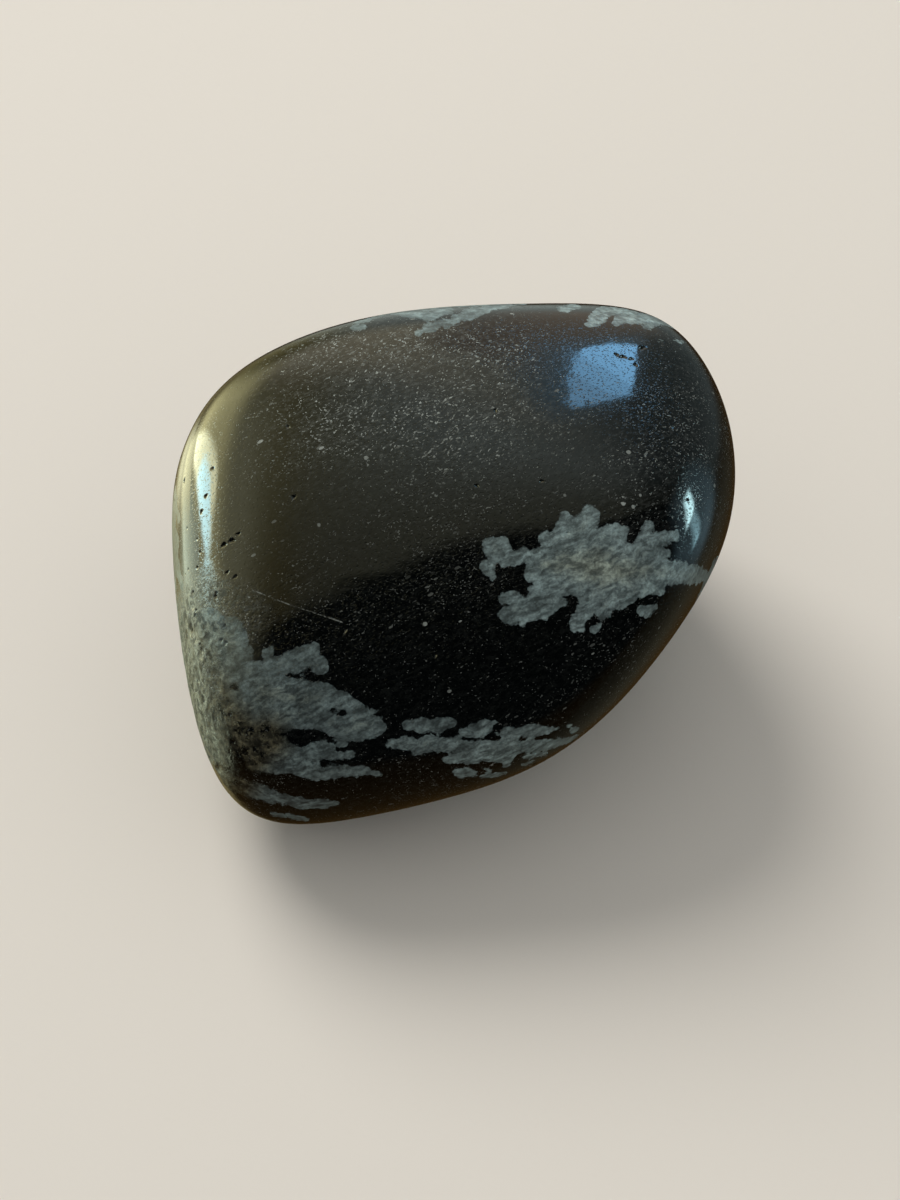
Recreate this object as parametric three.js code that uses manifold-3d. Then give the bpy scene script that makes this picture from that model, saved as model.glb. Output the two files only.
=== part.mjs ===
// A tumbled snowflake obsidian, 28 mm across: one piece of volcanic glass.
//
// A tumbler wears a broken lump of glass down to a few broad faces, each slightly domed, with round edges
// between them. Every face here is given by the way it looks and by its distance from the heart of the stone.
// The surface blends all the faces at once, so none of them stays flat and every edge comes out round.
//
// Millimetres, +Z up. The stone stands on a small worn flat at z = 0, and the origin lies in that plane, under
// the middle of the stone's box. The broad face that shows best looks towards -Y and up.

import * as THREE from "three";
import { mergeVertices } from "three/addons/utils/BufferGeometryUtils.js";
import Module from "manifold-3d";

const HEART_HEIGHT = 8.45; // from the resting plane up to the heart of the stone
const EDGE_SHARPNESS = 8; // 2 would melt the faces into a ball, and 20 would leave freshly broken edges
const SURFACE_DETAIL = 16; // how finely the icosahedron's faces are split
const SAME_POINT = 1e-4; // vertices closer than this are one vertex

// bearing: degrees anticlockwise from +X, seen from above. rise: degrees above the horizontal.
// depth: millimetres from the heart to the face.
const FACES = [
  { name: "show face, lower half", bearing: -89, rise: 50, depth: 9.8 },
  { name: "show face, upper half", bearing: -108, rise: 64, depth: 10.1 },
  { name: "crown", bearing: 20, rise: 75, depth: 12.2 },
  { name: "front", bearing: -84, rise: -8, depth: 13.2 },
  { name: "left", bearing: 188, rise: 12, depth: 13.5 },
  { name: "left front", bearing: -147, rise: -4, depth: 16.5 },
  { name: "back left", bearing: 130, rise: 25, depth: 13.1 },
  { name: "back", bearing: 101, rise: 21, depth: 10.6 },
  { name: "back right", bearing: 36, rise: -7, depth: 14.9 },
  { name: "right", bearing: -11, rise: 14, depth: 15.3 },
  { name: "right front", bearing: -38, rise: -12, depth: 12.2 },
  { name: "belly", bearing: 0, rise: -90, depth: 8.6 },
  { name: "belly, left", bearing: 163, rise: -45, depth: 10.3 },
  { name: "belly, right", bearing: -11, rise: -45, depth: 12.1 },
  { name: "belly, back", bearing: 95, rise: -39, depth: 11.9 },
  { name: "belly, front", bearing: -62, rise: -52, depth: 11.2 },
];

const wasm = await Module();
wasm.setup();

// The unit vector that a face looks along.
function outlook({ bearing, rise }) {
  const polar = THREE.MathUtils.degToRad(90 - rise);
  const around = THREE.MathUtils.degToRad(bearing);
  return new THREE.Vector3(
    Math.sin(polar) * Math.cos(around),
    Math.sin(polar) * Math.sin(around),
    Math.cos(polar),
  );
}

// The distance from the heart to the surface along a unit direction: a p-norm of the distances to all faces.
function reach(direction, faces) {
  let sum = 0;
  for (const { normal, depth } of faces) {
    const nearness = Math.max(0, direction.dot(normal)) / depth;
    sum += nearness ** EDGE_SHARPNESS;
  }
  return sum ** (-1 / EDGE_SHARPNESS);
}

// The closed surface round the heart: an icosahedron whose vertices are pushed out to the stone's surface.
function wornSurface() {
  const faces = FACES.map((face) => ({ normal: outlook(face), depth: face.depth }));
  const ball = new THREE.IcosahedronGeometry(1, SURFACE_DETAIL);
  ball.deleteAttribute("normal");
  ball.deleteAttribute("uv");
  const surface = mergeVertices(ball, SAME_POINT);
  const points = surface.attributes.position;
  const direction = new THREE.Vector3();
  for (let i = 0; i < points.count; i++) {
    direction.fromBufferAttribute(points, i).normalize();
    const { x, y, z } = direction.clone().multiplyScalar(reach(direction, faces));
    points.setXYZ(i, x, y, z);
  }
  return surface;
}

// A slab of everything below the resting plane, wider than the stone.
function groundSlab() {
  const size = 60;
  const slab = new THREE.BoxGeometry(size, size, size);
  slab.translate(0, 0, -HEART_HEIGHT - size / 2);
  slab.deleteAttribute("normal");
  slab.deleteAttribute("uv");
  return mergeVertices(slab, SAME_POINT);
}

function toSolid(geometry) {
  const vertProperties = new Float32Array(geometry.attributes.position.array);
  const triVerts = new Uint32Array(geometry.index.array);
  return new wasm.Manifold(new wasm.Mesh({ numProp: 3, vertProperties, triVerts }));
}

function toGeometry(solid) {
  const { vertProperties, triVerts } = solid.getMesh();
  return new THREE.BufferGeometry()
    .setAttribute("position", new THREE.BufferAttribute(vertProperties, 3))
    .setIndex(new THREE.BufferAttribute(triVerts, 1));
}

function makeStone() {
  const geometry = toGeometry(toSolid(wornSurface()).subtract(toSolid(groundSlab())));
  geometry.computeBoundingBox();
  const middle = geometry.boundingBox.getCenter(new THREE.Vector3());
  const glass = new THREE.MeshStandardMaterial({ color: 0x1a1b18, roughness: 0.15, metalness: 0 });
  const stone = new THREE.Mesh(geometry, glass);
  stone.name = "stone";
  stone.position.set(-middle.x, -middle.y, HEART_HEIGHT);
  return stone;
}

const snowflakeObsidian = new THREE.Group();
snowflakeObsidian.add(makeStone());

export default snowflakeObsidian;
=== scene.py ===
"""A tumbled snowflake obsidian on a pale floor.

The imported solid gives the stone's place and shape. It is faceted, so the piece that shows is a
fine mesh of the same shape, with worn pits in it. The grey flakes are clumps of cristobalite in
the glass: their branches are laid out here as strings of beads, each vertex stores how deep it
lies inside them, and the material draws their ragged edges.
"""

import bmesh
import bpy
import numpy as np
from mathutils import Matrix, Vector
from mathutils.bvhtree import BVHTree


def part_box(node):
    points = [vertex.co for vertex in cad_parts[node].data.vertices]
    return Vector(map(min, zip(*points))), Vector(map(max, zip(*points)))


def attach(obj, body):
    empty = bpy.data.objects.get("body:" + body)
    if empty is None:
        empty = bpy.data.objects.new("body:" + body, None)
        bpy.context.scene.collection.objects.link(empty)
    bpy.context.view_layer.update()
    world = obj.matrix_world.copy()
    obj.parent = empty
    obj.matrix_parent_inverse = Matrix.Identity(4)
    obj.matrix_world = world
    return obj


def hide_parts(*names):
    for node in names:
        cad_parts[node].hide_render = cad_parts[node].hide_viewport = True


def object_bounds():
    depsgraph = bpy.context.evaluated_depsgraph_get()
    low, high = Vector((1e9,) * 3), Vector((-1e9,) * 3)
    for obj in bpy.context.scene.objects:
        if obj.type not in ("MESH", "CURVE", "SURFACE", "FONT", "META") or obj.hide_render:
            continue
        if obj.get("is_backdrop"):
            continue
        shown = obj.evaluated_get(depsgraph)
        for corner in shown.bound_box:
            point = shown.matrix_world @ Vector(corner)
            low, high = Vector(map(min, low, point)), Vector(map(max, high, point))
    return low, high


MM = 0.001
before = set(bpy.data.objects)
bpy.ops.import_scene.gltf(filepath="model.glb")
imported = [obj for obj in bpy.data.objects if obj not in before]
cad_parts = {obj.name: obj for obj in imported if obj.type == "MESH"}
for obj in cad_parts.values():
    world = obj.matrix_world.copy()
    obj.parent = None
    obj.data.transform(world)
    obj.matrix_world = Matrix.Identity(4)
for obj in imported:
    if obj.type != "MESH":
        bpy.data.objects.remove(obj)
cad_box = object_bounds()
cad_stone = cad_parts["stone"]
cad_surface = BVHTree.FromObject(cad_stone, bpy.context.evaluated_depsgraph_get())
low, high = (np.array(corner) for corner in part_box("stone"))
heart = (low + high) / 2
random = np.random.default_rng(7)


# --- Looking at the stone from outside ------------------------------------------------------------


def unit(vector):
    return vector / np.linalg.norm(vector)


def looks(bearing, rise):
    """The unit vector with that bearing, anticlockwise from +X, and that rise, in degrees."""
    bearing, rise = np.radians(bearing), np.radians(rise)
    return np.array(
        (np.cos(rise) * np.cos(bearing), np.cos(rise) * np.sin(bearing), np.sin(rise))
    )


def view_axes(bearing, rise):
    """(across, up, towards) for somebody who looks at the stone from that bearing and rise."""
    towards = looks(bearing, rise)
    up = looks(bearing, rise + 90)
    return np.cross(up, towards), up, towards


SHOW_SIDE = (-90, 50)  # the bearing and rise that the photograph is taken from
BACK_SIDE = (90, 50)
SHOW_RIGHT, SHOW_TOP, SHOW_TOWARDS = view_axes(*SHOW_SIDE)

# A place just outside the stone's outline moves in by this share of the way, so many times at most.
STEP_IN = 0.03
MOST_STEPS_IN = 20


def on_stone(side, across, up):
    """The point on the stone seen from that side, that many millimetres across and up."""
    right, top, towards = view_axes(*side)
    start = (across * right + up * top) * MM + towards
    for _ in range(MOST_STEPS_IN):
        hit = cad_surface.ray_cast(Vector(start), Vector(-towards))[0]
        if hit is not None:
            return np.array(hit)
        start += (heart - start) @ right * STEP_IN * right
        start += (heart - start) @ top * STEP_IN * top
    raise ValueError(f"nothing of the stone at {across}, {up} from {side}")


def cast(directions):
    """How far the solid's surface is from the heart along each direction."""
    hits = (cad_surface.ray_cast(Vector(heart), Vector(d)) for d in directions)
    return np.array([distance for _, _, _, distance in hits])


def surface_point(outward):
    """The point of the surface that lies in that direction from the heart."""
    return heart + outward * cast([outward])[0]


# --- The stone's mesh -----------------------------------------------------------------------------

SOFTEN = 0.05  # radians, seen from the heart: it smooths away the facets and nothing wider
SAMPLE_FINENESS = 6
BASE_FINENESS, BASE_CUTS = 4, 9
PIT_CUTS = 3
BATCH = 1000  # directions that are averaged at a time

# Pits that the tumbling left: millimetres across and up as seen from a side, and width.
PITS = [
    (SHOW_SIDE, 7.8, 15.2, 0.22),
    (SHOW_SIDE, 8.1, 15.1, 0.34),
    (SHOW_SIDE, 8.5, 15.0, 0.22),
    (SHOW_SIDE, 9.1, 15.6, 0.36),
    (SHOW_SIDE, 8.7, 14.7, 0.22),
    (SHOW_SIDE, -12.9, 9.3, 0.28),
    (SHOW_SIDE, -11.7, 8.5, 0.24),
    (SHOW_SIDE, -11.4, 9.8, 0.22),
    (SHOW_SIDE, -10.8, 6.2, 0.30),
    (SHOW_SIDE, -10.4, 6.4, 0.30),
    (SHOW_SIDE, -10.1, 6.7, 0.20),
]
PIT_MARGIN = 0.25  # millimetres round a pit that are meshed finely too
PIT_DEPTH = 0.45  # as a share of its width
PIT_NARROWING = (1.2, 2.0)  # how many times longer than wide a pit may be
PIT_LOBES, LOBE_DEPTH = 3, 0.25  # the bulges of its outline, and their depth as a share

WORN_CORNER_PITS = 34
WORN_CORNER_ACROSS = (-11.9, 0.7)  # the middle and the spread, in millimetres
WORN_CORNER_UP = (-4.5, 6.0)
WORN_CORNER_WIDTHS = (0.1, 0.24)
SCATTERED_PITS = 40
SCATTERED_WIDTHS = (0.12, 0.3)

# The hollows of the worn corner, in millimetres: from one to the next, how deep they usually are,
# and how far outside it they fade out. Many waves added up give their uneven shape.
HOLLOW_WAVES = 60
HOLLOW_SIZES = (0.5, 1.3)
HOLLOW_DEPTH = 0.03
HOLLOW_FADE = 1.5


def sphere(fineness):
    """A ball of even triangles round the origin."""
    ball = bmesh.new()
    bmesh.ops.create_icosphere(ball, subdivisions=fineness, radius=1.0)
    return ball


def directions_of(ball):
    """The unit vector towards each of the ball's vertices."""
    found = np.array([v.co for v in ball.verts])
    return found / np.linalg.norm(found, axis=1, keepdims=True)


def spread(directions, samples, values):
    """The values, which are known at the samples, averaged round each direction."""
    result = []
    for part in np.array_split(directions, len(directions) // BATCH + 1):
        weight = np.exp((part.astype("f4") @ samples.T - 1) / SOFTEN**2)
        result.append(weight @ values / weight.sum(axis=1))
    return np.concatenate(result)


def smooth_reach(directions):
    """How far the stone reaches from its heart along each direction, without the facets."""
    ball = sphere(SAMPLE_FINENESS)
    samples = directions_of(ball).astype("f4")
    ball.free()
    known = cast(samples).astype("f4")
    # Averaging pulls every ridge in a little, so that loss is measured once and given back.
    known += known - spread(samples, samples, known)
    return spread(directions, samples, known)


def worn_corner_pits():
    """The place and width of each pit in the worn corner on the left."""
    for _ in range(WORN_CORNER_PITS):
        across, up = random.normal(*WORN_CORNER_ACROSS), random.uniform(*WORN_CORNER_UP)
        yield on_stone(SHOW_SIDE, across, up), random.uniform(*WORN_CORNER_WIDTHS)


def scattered_pits():
    """The place and width of each pit anywhere on the stone."""
    for _ in range(SCATTERED_PITS):
        place = surface_point(unit(random.normal(size=3)))
        yield place, random.uniform(*SCATTERED_WIDTHS)


def pit_depth(points, place, width):
    """How deep the pit goes at each point: a small uneven bowl with a soft rim."""
    outward = unit(place - heart)
    side = unit(np.cross(outward, looks(random.uniform(0, 360), 0)))
    other = np.cross(outward, side)
    offset = points - place
    x, y = offset @ side, offset @ other * random.uniform(*PIT_NARROWING)
    uneven = 1 + LOBE_DEPTH * np.sin(PIT_LOBES * np.arctan2(y, x) + random.uniform(0, 6))
    share = np.hypot(x, y) / (width * MM / 2 * uneven)
    bowl = PIT_DEPTH * width * MM * np.clip(1 - share**2, 0, 1) ** 1.5
    this_side = offset @ outward > -MM
    return np.where(this_side, bowl, 0)


def hollow_depth(points):
    """How deep the worn corner is dented at each point: shallow uneven hollows."""
    field = 0.0
    for _ in range(HOLLOW_WAVES):
        way = random.normal(size=3)
        way *= 2 * np.pi / (random.uniform(*HOLLOW_SIZES) * MM * np.linalg.norm(way))
        field += np.cos(points @ way + random.uniform(0, 2 * np.pi))
    field /= np.sqrt(HOLLOW_WAVES / 2)
    return HOLLOW_DEPTH * MM * np.clip(field, 0, 2) * closeness(points, WORN, HOLLOW_FADE)


def ball_with_room_for(pits):
    """A ball of triangles, finer where the pits will be."""
    ball = sphere(BASE_FINENESS)
    bmesh.ops.subdivide_edges(ball, edges=ball.edges, cuts=BASE_CUTS, use_grid_fill=True)
    rough_radius = np.mean(high - low) / 2
    close = np.zeros(len(ball.verts), bool)
    around = directions_of(ball)
    for place, width in pits:
        reach = (width + PIT_MARGIN) * MM / rough_radius
        close |= np.arccos(np.clip(around @ unit(place - heart), -1, 1)) < reach
    ball.verts.ensure_lookup_table()
    near = {ball.verts[i] for i in np.flatnonzero(close)}
    edges = [e for e in ball.edges if e.verts[0] in near or e.verts[1] in near]
    bmesh.ops.subdivide_edges(ball, edges=edges, cuts=PIT_CUTS, use_grid_fill=True)
    bmesh.ops.triangulate(ball, faces=ball.faces)
    return ball


def stone_mesh():
    """The stone's mesh, and the places of its vertices."""
    pits = [(on_stone(side, across, up), width) for side, across, up, width in PITS]
    pits += [*worn_corner_pits(), *scattered_pits()]
    ball = ball_with_room_for(pits)
    around = directions_of(ball)
    points = heart + around * smooth_reach(around)[:, None]
    for place, width in pits:
        points -= around * pit_depth(points, place, width)[:, None]
    points -= around * hollow_depth(points)[:, None]
    points = np.clip(points, low, high)
    for v, point in zip(ball.verts, points, strict=True):
        v.co = point
    mesh = bpy.data.meshes.new("stone")
    ball.to_mesh(mesh)
    ball.free()
    mesh.shade_smooth()
    return mesh, points


# --- The flakes -----------------------------------------------------------------------------------

# Each branch is a string of beads, from (across, up, radius) to (across, up, radius), in
# millimetres as seen from the flake's side.
RIGHT_FLAKE = [
    [
        (4.2, 5.2, 0.9), (5.3, 5.2, 1.3), (6.6, 5.1, 1.6), (7.8, 4.9, 1.3), (8.8, 5.0, 0.9),
        (9.6, 4.8, 0.7),
    ],
    [(9.6, 4.8, 0.7), (10.6, 4.75, 0.5), (11.5, 4.65, 0.45), (12.1, 4.6, 0.3)],
    [(10.3, 5.2, 0.2)],
    [(5.1, 6.4, 0.6), (5.9, 6.9, 0.6), (6.2, 7.4, 0.5)],
    [(5.1, 7.2, 0.4)],
    [(4.9, 6.3, 0.3), (4.1, 6.45, 0.25)],
    [(6.8, 6.3, 0.6), (7.4, 6.6, 0.45), (7.7, 6.7, 0.3)],
    [(8.5, 5.7, 0.6), (9.1, 6.2, 0.4), (9.7, 6.4, 0.35), (10.2, 6.5, 0.2)],
    [(8.8, 5.6, 0.5), (9.5, 5.7, 0.35), (9.8, 5.6, 0.2)],
    [(8.9, 7.0, 0.25), (8.75, 6.5, 0.2)],
    [(3.9, 5.6, 0.3), (3.1, 5.6, 0.3), (2.3, 5.4, 0.25)],
    [(1.7, 6.0, 0.5), (2.0, 5.9, 0.6)],
    [(1.55, 5.1, 0.35), (1.7, 4.65, 0.12)],
    [(3.6, 4.8, 0.4), (4.3, 4.5, 0.6)],
    [(5.0, 4.2, 0.5), (4.0, 4.1, 0.3), (3.6, 4.05, 0.2)],
    [(4.8, 3.5, 0.3), (4.1, 3.3, 0.5), (3.2, 3.1, 0.6), (2.5, 2.9, 0.45)],
    [(2.9, 3.6, 0.3), (2.3, 3.7, 0.25)],
    [(3.1, 2.6, 0.25)],
    [(6.3, 3.9, 0.6), (6.0, 3.1, 0.4), (5.7, 2.7, 0.3), (5.5, 2.4, 0.25)],
    [(5.85, 2.2, 0.15)],
    [(7.0, 3.6, 0.6), (6.8, 3.0, 0.3)],
    [(6.3, 2.25, 0.2), (6.6, 2.3, 0.2)],
    [(7.6, 3.8, 0.6), (8.3, 4.1, 0.5), (9.0, 4.2, 0.4), (9.6, 4.0, 0.2)],
    [(8.6, 3.1, 0.2), (8.9, 3.05, 0.3), (9.25, 3.2, 0.15)],
]
LEFT_FLAKE = [
    [(-11.6, 2.3, 0.9), (-10.5, 2.0, 0.8), (-10.3, 1.0, 0.9)],
    [
        (-11.2, 0.0, 1.6), (-9.6, -0.6, 1.4), (-7.9, -0.8, 0.9), (-6.0, -1.0, 0.8),
        (-4.9, -1.2, 0.4), (-4.2, -1.3, 0.08),
    ],
    [(-8.0, -1.6, 0.8), (-6.2, -1.8, 0.6), (-4.9, -2.1, 0.85), (-3.9, -2.2, 0.6)],
    [(-5.4, -1.4, 0.4), (-4.4, -1.7, 0.3)],
    [(-8.6, 1.2, 0.25)],
    [(-8.4, 0.6, 0.5), (-7.2, 0.9, 0.5), (-6.6, 1.2, 0.4), (-6.3, 0.6, 0.4)],
    [(-3.9, -1.6, 0.15), (-3.5, -1.55, 0.1)],
    [
        (-10.0, -2.2, 1.3), (-9.0, -3.1, 0.9), (-7.8, -3.6, 0.5), (-6.4, -3.5, 0.3),
        (-5.2, -3.6, 0.2), (-4.6, -3.5, 0.05),
    ],
    [(-6.6, -3.1, 0.15), (-5.1, -3.05, 0.08)],
    [
        (-9.3, -3.9, 0.5), (-7.9, -4.2, 0.3), (-6.5, -4.45, 0.35), (-5.3, -4.35, 0.3),
        (-4.3, -4.35, 0.25), (-3.5, -4.6, 0.05),
    ],
    [
        (-10.9, -5.0, 0.5), (-9.4, -5.5, 0.5), (-8.3, -5.8, 0.35), (-7.3, -6.1, 0.35),
        (-6.2, -6.1, 0.25), (-5.5, -6.0, 0.05),
    ],
    [(-8.8, -6.7, 0.12), (-7.9, -6.8, 0.15), (-7.2, -7.0, 0.15)],
    [(-12.9, 2.2, 0.7), (-12.7, 0.0, 1.0), (-11.8, -2.4, 1.2), (-11.0, -3.6, 0.7)],
]
LOW_FLAKE = [
    [(-2.25, -2.15, 0.2), (-1.6, -2.15, 0.35), (-0.8, -2.2, 0.33), (-0.25, -2.1, 0.2)],
    [
        (-3.0, -3.0, 0.2), (-2.4, -3.0, 0.3), (-1.7, -3.2, 0.42), (-1.0, -3.0, 0.35),
        (0.5, -3.3, 0.35), (2.4, -3.3, 0.4),
    ],
    [(2.4, -3.3, 0.4), (4.2, -3.3, 0.35), (5.0, -3.2, 0.28), (5.7, -3.1, 0.2)],
    [(0.4, -2.6, 0.2), (1.0, -2.5, 0.4), (1.4, -2.2, 0.32), (1.9, -2.05, 0.08)],
    [(0.65, -2.3, 0.15)],
    [
        (2.0, -2.65, 0.15), (2.6, -2.6, 0.28), (3.5, -2.5, 0.33), (4.1, -2.55, 0.18),
        (4.7, -2.45, 0.06),
    ],
    [(5.45, -2.4, 0.14), (5.65, -2.65, 0.2)],
    [(-0.3, -3.8, 0.22), (0.5, -3.8, 0.3), (1.4, -3.7, 0.3), (2.5, -3.8, 0.35), (2.4, -4.2, 0.18)],
    [(3.2, -3.9, 0.08), (3.8, -3.8, 0.15), (4.3, -3.85, 0.08)],
    [(3.1, -4.3, 0.08), (3.6, -4.2, 0.1)],
    [(-0.05, -4.5, 0.18), (0.3, -4.6, 0.28), (0.8, -4.6, 0.22)],
    [(1.3, -4.85, 0.1), (1.9, -4.75, 0.18), (2.4, -4.7, 0.08)],
    [(1.55, -4.5, 0.12)],
]
TOP_FLAKE = [
    [(-4.7, 16.5, 0.2), (-4.3, 16.55, 0.15)],
    [
        (-4.9, 17.0, 0.1), (-3.0, 17.3, 0.15), (-2.1, 17.2, 0.3), (-1.0, 17.1, 0.3),
        (-0.3, 17.5, 0.35),
    ],
    [(-1.7, 16.2, 0.12), (-0.9, 16.5, 0.2), (-0.5, 16.8, 0.12)],
    [
        (-0.35, 16.5, 0.15), (0.2, 16.9, 0.25), (1.0, 17.3, 0.35), (1.8, 17.6, 0.25),
        (3.4, 17.9, 0.12),
    ],
]
CROWN_FLAKE = [
    [(5.4, 17.6, 0.25), (6.0, 17.8, 0.3)],
    [(6.6, 16.75, 0.2), (7.0, 17.1, 0.35), (7.4, 17.5, 0.4), (8.2, 17.6, 0.4)],
    [
        (7.9, 16.9, 0.2), (8.3, 17.2, 0.35), (8.9, 17.3, 0.5), (9.6, 17.25, 0.4),
        (10.4, 17.1, 0.25), (11.0, 16.9, 0.1),
    ],
    [(9.35, 16.7, 0.12), (9.9, 16.9, 0.18)],
    [(9.9, 16.0, 0.03), (11.0, 16.1, 0.06), (11.5, 16.1, 0.03)],
]
# The far side of the top flake, as seen from behind.
CREST_FLAKE = [
    [
        (3.0, 7.3, 0.3), (2.0, 7.4, 0.5), (0.9, 6.9, 0.7), (-0.3, 6.5, 0.6), (-1.5, 6.3, 0.4),
        (-2.4, 5.7, 0.25),
    ],
    [(2.4, 7.2, 0.4), (3.2, 6.6, 0.3), (3.9, 6.5, 0.15)],
    [(0.9, 6.6, 0.6), (1.4, 5.6, 0.4)],
    [(-0.4, 6.3, 0.5), (-0.3, 5.5, 0.3), (-0.8, 5.0, 0.15)],
]
# Spots of clear glass inside the left flake.
HOLES = [
    [
        (-8.2, -2.5, 0.06), (-7.6, -2.5, 0.18), (-7.2, -2.7, 0.3), (-6.4, -2.5, 0.15),
        (-5.8, -2.7, 0.06),
    ],
    [(-7.1, 0.0, 0.06), (-5.8, 0.1, 0.12)],
    [(-5.7, -1.4, 0.08), (-5.2, -1.6, 0.1)],
    [(-7.0, -3.95, 0.04), (-5.4, -3.9, 0.06)],
    [(-10.4, -0.4, 0.15), (-10.0, -0.5, 0.08)],
    [(-11.9, 1.5, 0.1), (-11.4, 0.6, 0.15), (-11.25, 0.0, 0.08)],
    [(-12.0, -2.9, 0.12), (-11.4, -2.4, 0.06)],
    [(-10.6, -3.7, 0.3), (-10.3, -4.4, 0.3), (-9.3, -4.8, 0.2)],
]

# How a made-up flake grows. Radii and lengths are shares of its size, and places are shares of
# the arm's length.
ARM_COUNTS = (6, 9)
ARM_BEADS = [(0, 0.34), (0.45, 0.24), (0.75, 0.15)]
TIP_RADII = (0.06, 0.12)
KNOBS_PER_ARM, KNOB_ROOT_RADIUS, KNOB_LENGTH = 3, 0.1, 0.1
CRUMB_CHANCE = 0.4


def grown_flake(size):
    """A made-up flake: thick arms with knobs on them, and crumbs beyond some of their tips."""
    arms = random.integers(*ARM_COUNTS)
    stretch, tilt = random.uniform(1.3, 1.9), random.uniform(-0.5, 0.5)
    branches = []
    for arm in range(arms):
        turn = 2 * np.pi * (arm + random.uniform(-0.3, 0.3)) / arms
        reach = size * random.uniform(0.5, 1.0)
        bend = random.uniform(-0.4, 0.4)

        def bead(share, radius, swerve=0.0):
            angle = turn + bend * share + swerve
            a, u = stretch * reach * share * np.cos(angle), reach * share * np.sin(angle)
            across = a * np.cos(tilt) - u * np.sin(tilt)
            up = a * np.sin(tilt) + u * np.cos(tilt)
            return across, up, radius * size

        tip = bead(1, random.uniform(*TIP_RADII))
        branches.append([*(bead(*thick) for thick in ARM_BEADS), tip])
        for _ in range(KNOBS_PER_ARM):
            place = random.uniform(0.45, 1.0)
            swerve = random.uniform(0.15, 0.4) * random.choice((-1, 1))
            root = bead(place - KNOB_LENGTH, KNOB_ROOT_RADIUS)
            branches.append([root, bead(place, random.uniform(*TIP_RADII), swerve)])
        if random.random() < CRUMB_CHANCE:
            place, radius = random.uniform(1.15, 1.3), random.uniform(0.03, 0.07)
            branches.append([bead(place, radius, random.uniform(-0.2, 0.2))])
    return branches


def grown_at(side, size):
    """A made-up flake of that size, in the middle of what shows from that side."""
    right, top, towards = view_axes(*side)
    middle = surface_point(towards)
    across, up = middle @ right / MM, middle @ top / MM
    grown = grown_flake(size)
    return side, [[(a + across, u + up, radius) for a, u, radius in beads] for beads in grown]


# Flakes where the photograph doesn't reach: the bearing and rise of the middle from the stone's
# heart, and the size in millimetres.
HIDDEN_FLAKES = [
    (92, 23, 3.2),
    (46, 13, 2.8),
    (135, 4, 3.6),
    (75, -12, 2.6),
    (108, -28, 3.4),
    (20, -8, 2.4),
    (0, -32, 2.2),
    (48, -48, 3.2),
    (190, -32, 3.6),
    (165, -12, 2.0),
    (183, 4, 2.6),
    (-9, -3, 1.5),
    (198, -10, 2.2),
    (-45, -54, 2.6),
    (-115, -58, 3.0),
    (150, -62, 3.2),
    (103, 44, 2.0),
]
CRUMBS = 14
CRUMB_BEARINGS = (0, 180)
CRUMB_RISES = (-50, 15)
CRUMB_SIZES = (0.4, 0.9)


def hidden_flakes():
    """Each made-up flake, and crumbs of flake round the back of the stone."""
    for bearing, rise, size in HIDDEN_FLAKES:
        yield grown_at((bearing, rise), size)
    for _ in range(CRUMBS):
        side = (random.uniform(*CRUMB_BEARINGS), random.uniform(*CRUMB_RISES))
        yield grown_at(side, random.uniform(*CRUMB_SIZES))


FLAKES = [
    (SHOW_SIDE, RIGHT_FLAKE),
    (SHOW_SIDE, LEFT_FLAKE),
    (SHOW_SIDE, LOW_FLAKE),
    (SHOW_SIDE, TOP_FLAKE),
    (SHOW_SIDE, CROWN_FLAKE),
    (BACK_SIDE, CREST_FLAKE),
    *hidden_flakes(),
]

# How much a distance towards the viewer counts: a flake keeps its outline where the stone turns
# away.
IN_DEPTH = 0.4
FAR_OUTSIDE = -9.0  # millimetres
NO_LENGTH = 1e-9  # stands in for the length of a lone bead, which is 0


def depth_in(points, side, branches):
    """How many millimetres each point lies inside the branches: below 0 for one outside them."""
    right, top, towards = view_axes(*side)
    flatten = np.array((right, top, towards * IN_DEPTH)).T / MM
    flat_points = points @ flatten
    best = np.full(len(points), FAR_OUTSIDE)
    for beads in branches:
        places = [(on_stone(side, across, up) @ flatten, radius) for across, up, radius in beads]
        for (start, start_radius), (end, end_radius) in zip(places, places[1:] or places):
            along = end - start
            share = np.clip((flat_points - start) @ along / max(along @ along, NO_LENGTH), 0, 1)
            gap = np.linalg.norm(flat_points - start - share[:, None] * along, axis=1)
            best = np.maximum(best, start_radius + share * (end_radius - start_radius) - gap)
    return best


def flake_depth(points):
    """How many millimetres each point lies inside the nearest flake."""
    depth = np.max([depth_in(points, side, branches) for side, branches in FLAKES], axis=0)
    return np.minimum(depth, -depth_in(points, SHOW_SIDE, HOLES))


# Where the left flake is worn and patchy, where the polish has many fine marks, the strip on
# the right that has some, and where the polish is dulled.
WORN = [
    [
        (-12.7, 2.4, 0.3), (-12.2, 0.4, 0.9), (-11.5, -2.0, 1.3), (-10.2, -3.4, 1.2),
        (-10.6, -5.2, 0.6),
    ],
    [(-10.2, -3.4, 1.2), (-8.8, -2.8, 0.6)],
]
FROSTED = [
    [(-5.2, 13.6, 1.6), (-0.5, 14.6, 1.8), (1.5, 13.4, 1.2)],
]
SCUFFED = [
    [(11.6, 14.5, 0.6), (12.0, 11.5, 0.8), (9.0, 9.5, 0.8)],
]
DULLED = [
    [(-11.6, 3.4, 1.0), (-12.0, 1.0, 1.2), (-12.0, -1.8, 1.0)],
    [(-13.0, 3.0, 0.8), (-12.9, 0.5, 1.4), (-12.6, -1.8, 1.0), (-12.0, -3.4, 0.5)],
    [(-11.4, 3.4, 1.0), (-10.0, 3.0, 0.7)],
]
# How many millimetres outside each of these it has faded out.
WORN_FADE = 1.0
FROST_FADE = 6.0
SCUFF_FADE = 3.0
DULL_FADE = 1.2
SCUFF_SHARE = 0.45  # the strip's fine marks, as a share of those in the frosted part


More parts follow.
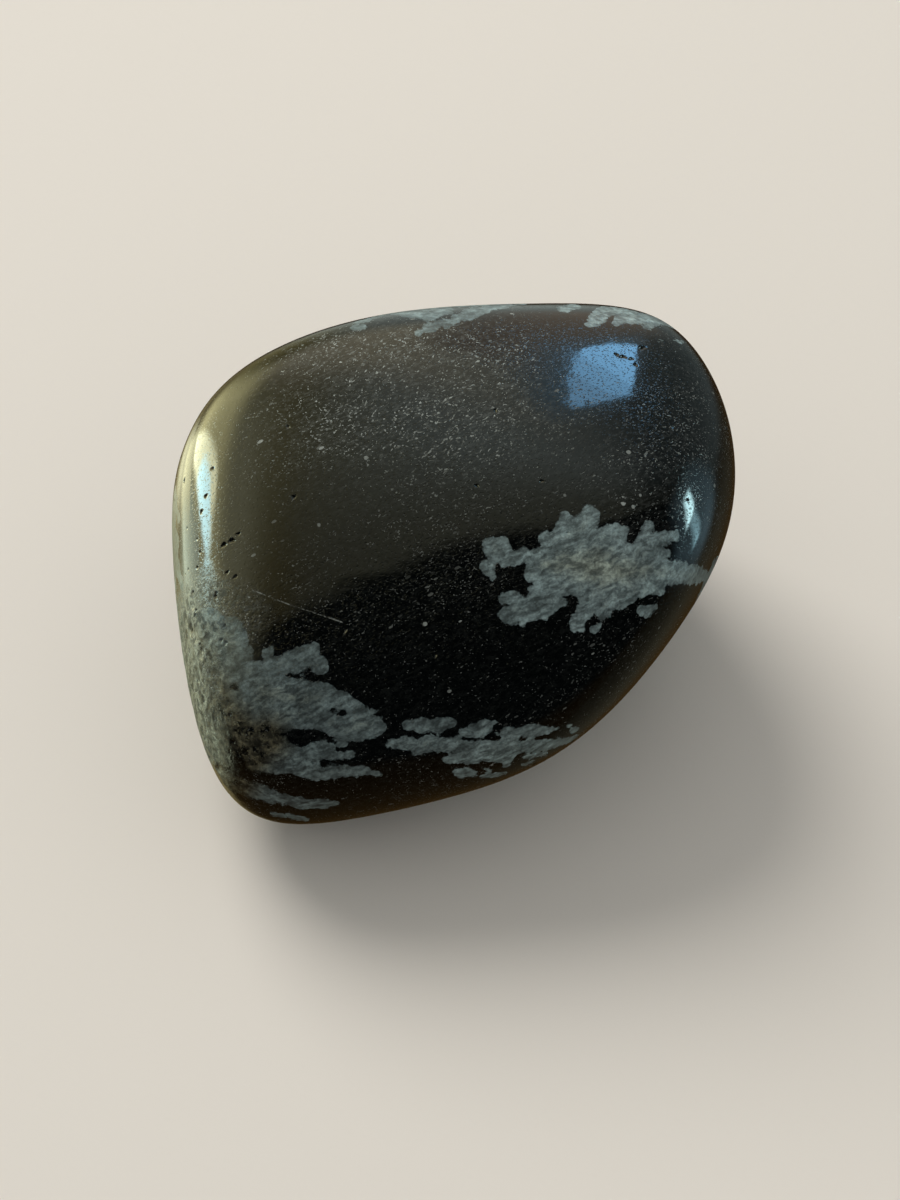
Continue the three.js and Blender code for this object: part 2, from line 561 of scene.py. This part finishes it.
def closeness(points, branches, fade):
    """1 inside the branches, and 0 further than fade millimetres outside them."""
    return np.clip(1 + depth_in(points, SHOW_SIDE, branches) / fade, 0, 1)


def frost_at(points):
    """How many fine marks the polish has at each point, from 0 to 1."""
    frosted = closeness(points, FROSTED, FROST_FADE) ** 2
    return np.maximum(frosted, SCUFF_SHARE * closeness(points, SCUFFED, SCUFF_FADE))


# --- The material ---------------------------------------------------------------------------------


class Graph:
    """Short names for making and linking a material's nodes."""

    def __init__(self, tree):
        self.tree = tree

    def node(self, kind, inputs=(), **settings):
        made = self.tree.nodes.new("ShaderNode" + kind)
        for key, value in settings.items():
            setattr(made, key, value)
        for key, value in dict(inputs).items():
            if isinstance(value, bpy.types.NodeSocket):
                self.tree.links.new(value, made.inputs[key])
            else:
                made.inputs[key].default_value = value
        return made

    def math(self, operation, a, b=0.0, c=0.0):
        return self.node("Math", {0: a, 1: b, 2: c}, operation=operation).outputs[0]

    def joined(self, operation, first, *rest):
        for value in rest:
            first = self.math(operation, first, value)
        return first

    def plus(self, *values):
        return self.joined("ADD", *values)

    def times(self, *values):
        return self.joined("MULTIPLY", *values)

    def most(self, *values):
        return self.joined("MAXIMUM", *values)

    def linear(self, value, factor, offset):
        return self.math("MULTIPLY_ADD", value, factor, offset)

    def vector(self, operation, a, b, c=(0, 0, 0)):
        return self.node("VectorMath", {0: a, 1: b, 2: c}, operation=operation).outputs

    def dot(self, vector, axis):
        return self.vector("DOT_PRODUCT", vector, tuple(axis))["Value"]

    def distance(self, a, b):
        return self.vector("DISTANCE", a, b)["Value"]

    def scale(self, vector, factor):
        made = self.node("VectorMath", {0: vector, "Scale": factor}, operation="SCALE")
        return made.outputs[0]

    def ramp(self, value, low, high, start=0.0, end=1.0):
        """start below low, end above high, and a smooth change between them."""
        inputs = {"Value": value, "From Min": low, "From Max": high, "To Min": start, "To Max": end}
        return self.node("MapRange", inputs, interpolation_type="SMOOTHSTEP").outputs["Result"]

    def noise(self, place, scale, detail=2.0, roughness=0.5, output="Fac"):
        inputs = {"Vector": place, "Scale": scale, "Detail": detail, "Roughness": roughness}
        return self.node("TexNoise", inputs).outputs[output]

    def cells(self, place, scale):
        return self.node("TexVoronoi", {"Vector": place, "Scale": scale}, feature="F1").outputs

    def blend(self, share, first, second, how="MIX"):
        """A colour between two, or the first changed by the second."""
        made = self.node("Mix", {0: share, 6: first, 7: second}, data_type="RGBA", blend_type=how)
        return made.outputs[2]

    def stored(self, name):
        return self.node("Attribute", attribute_name=name).outputs["Fac"]

    def stretched(self, place, axis, factor):
        """The place in a frame where lengths along the axis count factor times as much."""
        side = unit(np.cross(axis, (0, 0, 1)))
        parts = (axis * factor, side, np.cross(axis, side))
        along = {i: self.dot(place, part) for i, part in enumerate(parts)}
        return self.node("CombineXYZ", along).outputs[0]


GLASS = (0.0006, 0.0007, 0.0006, 1)
GLASS_IOR = 1.49
FLAKE_EDGE = (0.097, 0.131, 0.133, 1)
FLAKE_CORE = (0.116, 0.138, 0.118, 1)
FLAKE_WORN = (0.060, 0.054, 0.030, 1)
# The white of the chips and scuffs in the polish: partly real marks, partly painted glints.
CHIP_AND_GLINT = (0.60, 0.66, 0.62, 1)
# The roughness of the polish, and how much rougher the rest is.
POLISHED, FLAKE_ROUGHER, CHIP_ROUGHER, SCAB_ROUGHER = 0.03, 0.25, 0.35, 0.45

LAY = SHOW_RIGHT * 0.9 + SHOW_TOP * 0.43  # the way that most scratches run
# How much a length along the lay counts in each pattern: the less it counts, the longer the
# pattern's marks.
CHIP_STRETCH = 0.45
SCUFF_STRETCH = 0.65
PRICK_STRETCH = 0.6
FIBRE_STRETCH = 0.35
VEIN_STRETCH = 0.6

# The knobs on a flake's rim: how many lie along a millimetre, how much lower the gaps between
# them are, and their height, in millimetres.
KNOBS = [
    (1.9, 0.26, 0.15),
    (4.0, 0.10, 0.06),
]
# Millimetres of relief in the surface.
GRAIN_HEIGHT, FROST_GRAIN_HEIGHT = 0.0012, 0.0008
WEATHERED_HEIGHT = 0.035
WAVE_HEIGHT = 0.004
PRICK_DEPTH = 0.0035
BENDING = (0.4, 0.4, 0.4)  # millimetres that the flakes' patterns are bent by at most

# The chips in the polish, painted white partly as real chips and partly as glints: the size in
# millimetres of the cells that hold one at most, the share of cells that hold one, its reach in
# cells and its strength.
CHIPS = [
    (0.25, 0.20, 0.26, 0.20),
    (0.55, 0.25, 0.13, 0.60),
    (1.50, 0.30, 0.06, 0.90),
]
# Single marks on the show side: their middles, across and up in millimetres, their reach and
# their strength.
MARKS = [
    (-1.4, 2.5, 0.10, 0.30),
    (-0.3, -0.6, 0.09, 0.20),
    (7.8, 8.0, 0.10, 0.45),
    (8.25, 7.85, 0.09, 0.35),
    (8.6, 8.4, 0.07, 0.30),
    (5.1, 8.4, 0.08, 0.20),
    (12.3, 8.9, 0.09, 0.25),
    (9.6, 2.2, 0.07, 0.15),
    (10.7, 3.2, 0.08, 0.15),
    (1.7, -4.2, 0.07, 0.25),
    (8.1, 10.4, 0.10, 0.30),
    (-4.1, 10.2, 0.10, 0.30),
    (-6.3, 7.1, 0.08, 0.20),
]
SMALLEST_CHIP, FAINTEST_CHIP = 0.3, 0.15  # as shares of the largest and the strongest
MARK_EDGE = 0.02
# The long scratch: its bends, across and up in millimetres, and its reach.
SCRATCH = [(-9.4, 4.1), (-7.6, 3.4), (-5.2, 2.6)]
SCRATCH_REACH = 0.045


def specks(g, place, crowd):
    """How white the chips, partly painted glints, make each place: they crowd together where crowd
    is high.
    """
    total = 0.0
    for size, share, reach, strength in CHIPS:
        cell = g.cells(place, 1 / size)
        number = g.node("SeparateXYZ", {0: cell["Color"]}).outputs
        chosen = g.math("LESS_THAN", number[0], g.times(crowd, share))
        radius = g.linear(number[1], reach * (1 - SMALLEST_CHIP), reach * SMALLEST_CHIP)
        dot = g.math("LESS_THAN", cell["Distance"], radius)
        faintest = strength * FAINTEST_CHIP
        white = g.linear(g.times(number[2], number[2]), strength - faintest, faintest)
        total = g.most(total, g.times(dot, chosen, white))
    return total


def scuffs_and_glints(g, place, crowd, marked):
    """How white the short fine scuffs make each place; their white is partly painted glints."""
    # Only the crests of the noise are drawn, and where crowd is high more of it is crest.
    line = g.noise(g.stretched(place, LAY, SCUFF_STRETCH), 11.0, detail=1.0, roughness=0.6)
    rim = g.linear(crowd, -0.11, 0.73)
    drawn = g.ramp(g.math("SUBTRACT", line, rim), 0.0, 0.05)
    strength = g.ramp(g.noise(place, 2.6), 0.35, 0.72, 0.15, 1.0)
    return g.times(drawn, strength, g.linear(marked, 0.48, 0.16))


def single_marks(g, place):
    """How white the single marks and the scratch make each place."""
    total = 0.0
    ragged = g.noise(place, 7.0)
    for across, up, reach, strength in MARKS:
        gap = g.distance(place, tuple(on_stone(SHOW_SIDE, across, up) / MM))
        inside = g.math("SUBTRACT", g.linear(ragged, reach * 1.6, reach * 0.2), gap)
        total = g.most(total, g.ramp(inside, -MARK_EDGE, MARK_EDGE, 0.0, strength))
    ends = [on_stone(SHOW_SIDE, across, up) / MM for across, up in SCRATCH]
    for start, end in zip(ends, ends[1:]):
        length, along = np.linalg.norm(end - start), unit(end - start)
        offset = g.vector("SUBTRACT", place, tuple(start))[0]
        went = g.math("MINIMUM", g.most(g.dot(offset, along), 0.0), length)
        gap = g.distance(offset, g.scale(tuple(along), went))
        line = g.ramp(gap, 0.0, SCRATCH_REACH, 1.0, 0.0)
        total = g.most(total, g.times(line, g.ramp(ragged, 0.4, 0.6, 0.02, 0.3)))
    return total


def flake_edge(g, place, bent, worn):
    """How many millimetres each place lies inside a flake: a heap of knobs, in patches if worn."""
    knobs = g.plus(
        *(g.linear(g.cells(bent, many)["Distance"], -drop, top) for many, drop, top in KNOBS)
    )
    fine = g.linear(g.noise(place, 8.0), 0.08, -0.04)  # up to 0.04 mm in or out
    edge = g.plus(g.stored("flake_depth"), knobs, fine)
    patches = g.linear(g.noise(bent, 2.2, detail=3.0, roughness=0.6), 3.6, -1.55)
    kept = g.linear(g.math("SUBTRACT", 1.0, worn), 3.0, g.plus(patches, knobs))
    return g.math("MINIMUM", edge, kept)


def flake_paint(g, place, bent, edge, grit, worn, scabs_and_shade):
    """The flake's colour: woolly, blotched and veined, bluish near the rim and warmer inside, with
    painted light at the far edge and painted shade in the scabs.
    """
    fibres = g.noise(g.stretched(bent, LAY, FIBRE_STRETCH), 4.4, detail=3.0, roughness=0.6)
    blotches = g.noise(bent, 1.2, detail=2.0, roughness=0.6)
    veins = g.linear(g.noise(g.stretched(bent, LAY, VEIN_STRETCH), 1.8), 1.0, -0.5)
    shades = [
        g.ramp(fibres, 0.33, 0.67, 0.50, 1.55),
        g.ramp(blotches, 0.3, 0.7, 0.7, 1.3),
        g.ramp(grit, 0.3, 0.7, 0.78, 1.24),
        g.ramp(g.math("ABSOLUTE", veins), 0.0, 0.03, 0.75, 1.0),
        g.ramp(edge, 0.0, 0.25, 0.8, 1.0),
        # The flakes get paler to the right, and lighter towards the far edge, which is painted
        # light where more light falls.
        g.ramp(g.dot(place, (1, 0, 0)), -12, 12, 0.66, 1.42),
        g.ramp(g.dot(place, SHOW_TOP), 13.0, 18.0, 1.0, 1.4),
    ]
    stained = g.ramp(g.noise(place, 1.8, detail=4.0, roughness=0.65), 0.42, 0.58, 0.35, 1.3)
    shades.append(g.plus(g.times(worn, stained), g.linear(worn, -1.0, 1.0)))
    # The scabs are painted darker: painted shade of their pits.
    shades.append(g.linear(scabs_and_shade, -0.30, 1.0))
    inside = g.ramp(g.plus(edge, g.linear(fibres, 1.6, -0.8)), 0.3, 1.5)
    colour = g.blend(inside, FLAKE_EDGE, FLAKE_CORE)
    colour = g.blend(g.times(worn, 0.95), colour, FLAKE_WORN)
    return g.scale(colour, g.times(*shades))


def marks_and_glints(g, place, bent, along_lay, marked):
    """How white the tiny chips and scuffs in the polish make each place, partly as painted glints.
    """
    crowd = g.ramp(g.noise(along_lay, 0.4), 0.35, 0.65, 0.3, 1.0)
    crowd = g.plus(crowd, g.times(marked, 0.4))
    chips_and_glints = g.times(specks(g, along_lay, crowd), g.linear(marked, 0.5, 0.6))
    return g.most(chips_and_glints, scuffs_and_glints(g, bent, crowd, marked), single_marks(g, place))


def relief(g, place, along_lay, worn, frost, dulled):
    """The height of the surface in millimetres: grain, weathering, slow waves and pricks."""
    grain = g.noise(along_lay, 5.0, detail=3.0, roughness=0.6)
    grain = g.times(grain, g.linear(frost, FROST_GRAIN_HEIGHT, GRAIN_HEIGHT))
    weathered = g.noise(place, 4.0, detail=4.0, roughness=0.7)
    weathered = g.times(weathered, g.most(worn, dulled), WEATHERED_HEIGHT)
    pricks = g.noise(g.stretched(place, LAY, PRICK_STRETCH), 12.0, detail=1.0, roughness=0.6)
    pricks = g.times(g.ramp(pricks, 0.58, 0.74), -PRICK_DEPTH)
    return g.plus(grain, weathered, g.linear(g.noise(place, 1.2), WAVE_HEIGHT, pricks))


def obsidian():
    material = bpy.data.materials.new("obsidian")
    material.use_nodes = True
    material.node_tree.nodes.clear()
    g = Graph(material.node_tree)
    place = g.scale(g.node("TexCoord").outputs["Object"], 1 / MM)
    wobble = g.noise(place, 1.8, output="Color")
    bent = g.vector("MULTIPLY_ADD", wobble, BENDING, place)[0]
    along_lay = g.stretched(place, LAY, CHIP_STRETCH)
    grit = g.noise(place, 8.0, detail=2.0, roughness=0.6)
    worn, frost, dulled = g.stored("worn"), g.stored("frost"), g.stored("dulled")
    marked = g.most(frost, g.times(dulled, 0.7))  # the polish has the most chips and haze there
    # Scabs: rough patches in the dulled part, where the flake is also painted darker as shade.
    scabs_and_shade = g.times(g.ramp(g.noise(bent, 2.4, detail=4.0, roughness=0.7), 0.46, 0.58), dulled)

    edge = flake_edge(g, place, bent, worn)
    fade = g.linear(worn, 0.12, 0.035)
    flake = g.ramp(edge, g.times(fade, -1.0), fade)
    colour = g.blend(flake, GLASS, flake_paint(g, place, bent, edge, grit, worn, scabs_and_shade))

    chips_and_glints = marks_and_glints(g, place, bent, along_lay, marked)
    haze = g.ramp(g.noise(along_lay, 6.0, detail=4.0, roughness=0.8), 0.46, 0.64)
    haze = g.times(haze, g.linear(marked, 0.060, 0.009))
    # Chips, scuffs and haze whiten the colour: real marks in the polish, and partly painted glints.
    white = g.times(g.plus(chips_and_glints, haze), g.linear(flake, -0.7, 1.0))
    rough = g.plus(
        g.linear(flake, FLAKE_ROUGHER, POLISHED),
        g.times(g.math("MINIMUM", g.times(chips_and_glints, 10.0), 1.0), CHIP_ROUGHER),
        g.times(dulled, g.ramp(grit, 0.4, 0.6, 0.02, 0.2)),
        g.times(scabs_and_shade, SCAB_ROUGHER),
    )
    height = relief(g, place, along_lay, worn, frost, dulled)
    skin = {
        "Base Color": g.blend(white, colour, CHIP_AND_GLINT),
        "Roughness": rough,
        "IOR": GLASS_IOR,
        "Normal": g.node("Bump", {"Height": height, "Distance": MM}).outputs[0],
    }
    shader = g.node("BsdfPrincipled", skin)
    g.node("OutputMaterial", {"Surface": shader.outputs[0]})
    return material


def store(mesh, name, values):
    attribute = mesh.attributes.new(name, "FLOAT", "POINT")
    attribute.data.foreach_set("value", values.astype("f4"))


mesh, points = stone_mesh()
store(mesh, "flake_depth", flake_depth(points))
store(mesh, "worn", closeness(points, WORN, WORN_FADE))
store(mesh, "frost", frost_at(points))
store(mesh, "dulled", closeness(points, DULLED, DULL_FADE))
mesh.materials.append(obsidian())
stone = bpy.data.objects.new("polished_stone", mesh)
bpy.context.scene.collection.objects.link(stone)
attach(stone, "root")
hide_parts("stone")


# --- The floor, the lights and the camera ---------------------------------------------------------

FLOOR_REACH = 3  # metres
FLOOR_COLOUR = (0.80, 0.76, 0.70, 1)
SOFT_LIGHT = (0.46, 0.46, 0.45, 1)
BACKDROP = (0.70, 0.67, 0.62, 1)
WARM_WHITE = (1, 0.97, 0.92)

# What the polish mirrors behind the panes: a ceiling, dimmer towards its lower edge, and below it
# a dark front and the ground.
CEILING_RIGHT = (0.15, 0.19, 0.19, 1)
CEILING_MIDDLE = (0.80, 0.91, 0.84, 1)
CEILING_LEFT = (0.59, 0.52, 0.22, 1)
CEILING_DIMMING = (0.52, 0.47, 0.38, 1)
CEILING_WAY = (-0.18, 0.88, 0.44)  # the ceiling is whatever lies on this side of the stone
DARK_FRONT = (0.010, 0.016, 0.018, 1)
GROUND = (0.045, 0.026, 0.008, 1)

# The panes: the corners, as bearings and rises from the stone, the softness of the edges and the
# colour. A pane covers those before it. The last three make one window, brightest at its foot.
WINDOW_FOOT = [(66.2, 33), (65.5, 26), (62.6, 21.8), (58.8, 31)]
WINDOW_EDGE = 0.006
PANES = [
    ([(75, 30), (140, 30), (160, 80), (90, 85)], 0.25, (1.9, 1.75, 1.25)),
    ([(66, 0), (82, 0), (84, 60), (66, 60)], 0.12, (0.80, 0.68, 0.54)),
    ([(-40, -70), (60, -70), (50, -22), (-30, -22)], 0.15, (0.062, 0.056, 0.036)),
    ([(108, -65), (140, -65), (140, -15), (108, -15)], 0.12, (0.36, 0.30, 0.14)),
    ([(150, 30), (185, 5), (218, 30), (215, 62), (160, 62)], 0.25, (1.5, 1.45, 0.9)),
    ([(128, -15), (150, -22), (186, 12), (184, 38), (135, 40)], 0.22, (4.2, 3.9, 2.0)),
    ([(130, -48), (185, -48), (185, -10), (152, -14)], 0.08, (1.6, 1.8, 1.25)),
    ([(135, -35), (145, -40), (176, -12), (166, -4)], 0.05, (2.4, 2.7, 2.0)),
    ([(112, -42), (124, -43), (134, -34), (126, -28)], 0.05, (1.8, 1.75, 1.1)),
    ([(127, -32), (132, -38), (152, -22), (139, -14)], 0.05, (3.6, 3.5, 2.1)),
    (
        [(139, -18), (149, -17), (166, 0), (179, 13), (179, 28), (172, 27), (149, 0)],
        0.04,
        (12, 12, 7.6),
    ),
    ([(158, -7), (170, 2), (178, 10), (179, 19), (172, 19), (160, 6)], 0.04, (11, 16.5, 16.5)),
    ([(-20, -8), (24, -42), (24, 0), (14, 30), (-18, 38)], 0.12, (0.32, 0.50, 0.58)),
    ([(-6, 3), (1, 3), (9, -26), (4, -26)], 0.04, (2.1, 3.7, 4.2)),
    ([(-9, 4), (1, 4), (3, 22), (-6, 25)], 0.05, (12, 19, 20)),
    ([(68, 30), (64, 17), (55.5, 38), (44, 78), (56, 74)], 0.05, (0.55, 0.85, 1.05)),
    ([*WINDOW_FOOT, (55.4, 40.5), (52.5, 67.5)], WINDOW_EDGE, (1.9, 4.0, 6.3)),
    ([*WINDOW_FOOT, (55.4, 40.5), (55.0, 47), (63.0, 47)], WINDOW_EDGE, (2.15, 4.8, 7.7)),
    ([*WINDOW_FOOT, (57.1, 36.5), (65.5, 36.5)], WINDOW_EDGE, (2.5, 5.7, 9.2)),
]


def plain_floor():
    """A pale floor, wide enough to fill the picture."""
    reach = FLOOR_REACH
    mesh = bpy.data.meshes.new("floor")
    corners = [(-reach, -reach, 0), (reach, -reach, 0), (reach, reach, 0), (-reach, reach, 0)]
    mesh.from_pydata(corners, [], [(0, 1, 2, 3)])
    material = bpy.data.materials.new("floor")
    material.use_nodes = True
    shader = material.node_tree.nodes["Principled BSDF"]
    shader.inputs["Base Color"].default_value = FLOOR_COLOUR
    shader.inputs["Roughness"].default_value = 0.7
    shader.inputs["Specular IOR Level"].default_value = 0.1
    mesh.materials.append(material)
    floor = bpy.data.objects.new("floor", mesh)
    floor.visible_glossy = False  # the polish mirrors the studio's dark ground instead
    bpy.context.scene.collection.objects.link(floor)
    floor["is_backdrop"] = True


def room(g, way):
    """The colour of the room and its ground in each direction, without the panes."""
    leftness = g.dot(way, (-1, 0, 0))
    ceiling = g.blend(g.ramp(leftness, -0.6, 0.08), CEILING_RIGHT, CEILING_MIDDLE)
    ceiling = g.blend(g.ramp(leftness, 0.05, 0.4), ceiling, CEILING_LEFT)
    above = g.dot(way, CEILING_WAY)
    dimmed = g.blend(1.0, ceiling, CEILING_DIMMING, "MULTIPLY")
    ceiling = g.blend(g.ramp(above, 0.0, 0.33), dimmed, ceiling)
    mirrored = g.blend(g.ramp(above, -0.035, 0.015), DARK_FRONT, ceiling)
    return g.blend(g.ramp(g.dot(way, (0, 0, -1)), 0.2, 0.5), mirrored, GROUND)


def pane(g, way, corners, softness):
    """1 towards a pane with those corners, and 0 elsewhere."""
    mask = 1.0
    outlooks = [looks(*corner) for corner in corners]
    middle = np.mean(outlooks, axis=0)
    for start, end in zip(outlooks, outlooks[1:] + outlooks[:1]):
        inward = unit(np.cross(start, end))
        inward *= np.sign(inward @ middle)
        mask = g.times(g.ramp(g.dot(way, inward), -softness, softness), mask)
    return mask


def studio():
    """Plain soft light for all that is rough, and a dark room with bright windows to mirror."""
    made = bpy.data.worlds.new("studio")
    made.use_nodes = True
    made.node_tree.nodes.clear()
    g = Graph(made.node_tree)
    way = g.node("TexCoord").outputs["Generated"]
    mirrored = room(g, way)
    for corners, softness, colour in PANES:
        mirrored = g.blend(pane(g, way, corners, softness), mirrored, (*colour, 1))
    ray = g.node("LightPath").outputs
    lit, backdrop, seen = (
        g.node("Background", {"Color": colour}).outputs[0]
        for colour in (SOFT_LIGHT, BACKDROP, mirrored)
    )
    shown = g.node("MixShader", {0: ray["Is Glossy Ray"], 1: lit, 2: seen}).outputs[0]
    shown = g.node("MixShader", {0: ray["Is Camera Ray"], 1: shown, 2: backdrop}).outputs[0]
    g.node("OutputWorld", {"Surface": shown})
    bpy.context.scene.world = made


def soft_lamp(bearing, rise, width, distance, radiance):
    """A wide lamp that lights the floor and the flakes, but that the polish doesn't mirror."""
    lamp = bpy.data.lights.new("soft_lamp", "AREA")
    lamp.shape = "DISK"
    lamp.size = width
    lamp.energy = radiance * np.pi**2 * width**2 / 4
    lamp.color = WARM_WHITE
    light = bpy.data.objects.new("soft_lamp", lamp)
    towards = looks(bearing, rise)
    light.location = heart + towards * distance
    light.rotation_euler = Vector(towards).to_track_quat("Z", "Y").to_euler()
    light.visible_glossy = False
    bpy.context.scene.collection.objects.link(light)


CAMERA_DISTANCE = 120 * MM
CAMERA_MIDDLE = np.array((-0.7, 0.5, 8.45)) * MM  # the distance is measured from here
AIM_ACROSS, AIM_UP = 0.5 * MM, -2.4 * MM  # from the middle to what the camera points at
LENS, SENSOR_WIDTH = 72, 36
CLIP_START = 0.01


def photo_camera():
    """A camera at the photograph's viewing angle."""
    data = bpy.data.cameras.new("camera")
    data.lens, data.sensor_width, data.clip_start = LENS, SENSOR_WIDTH, CLIP_START
    camera = bpy.data.objects.new("camera", data)
    camera.location = CAMERA_MIDDLE + SHOW_TOWARDS * CAMERA_DISTANCE
    aim = CAMERA_MIDDLE + AIM_ACROSS * SHOW_RIGHT + AIM_UP * SHOW_TOP
    camera.rotation_euler = (camera.location - Vector(aim)).to_track_quat("Z", "Y").to_euler()
    bpy.context.scene.collection.objects.link(camera)
    bpy.context.scene.camera = camera


plain_floor()
studio()
soft_lamp(bearing=125, rise=45, width=0.5, distance=0.8, radiance=7.0)
photo_camera()
bpy.context.scene.view_settings.view_transform = "Standard"

boxes = [[list(corner) for corner in box] for box in (cad_box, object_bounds())]
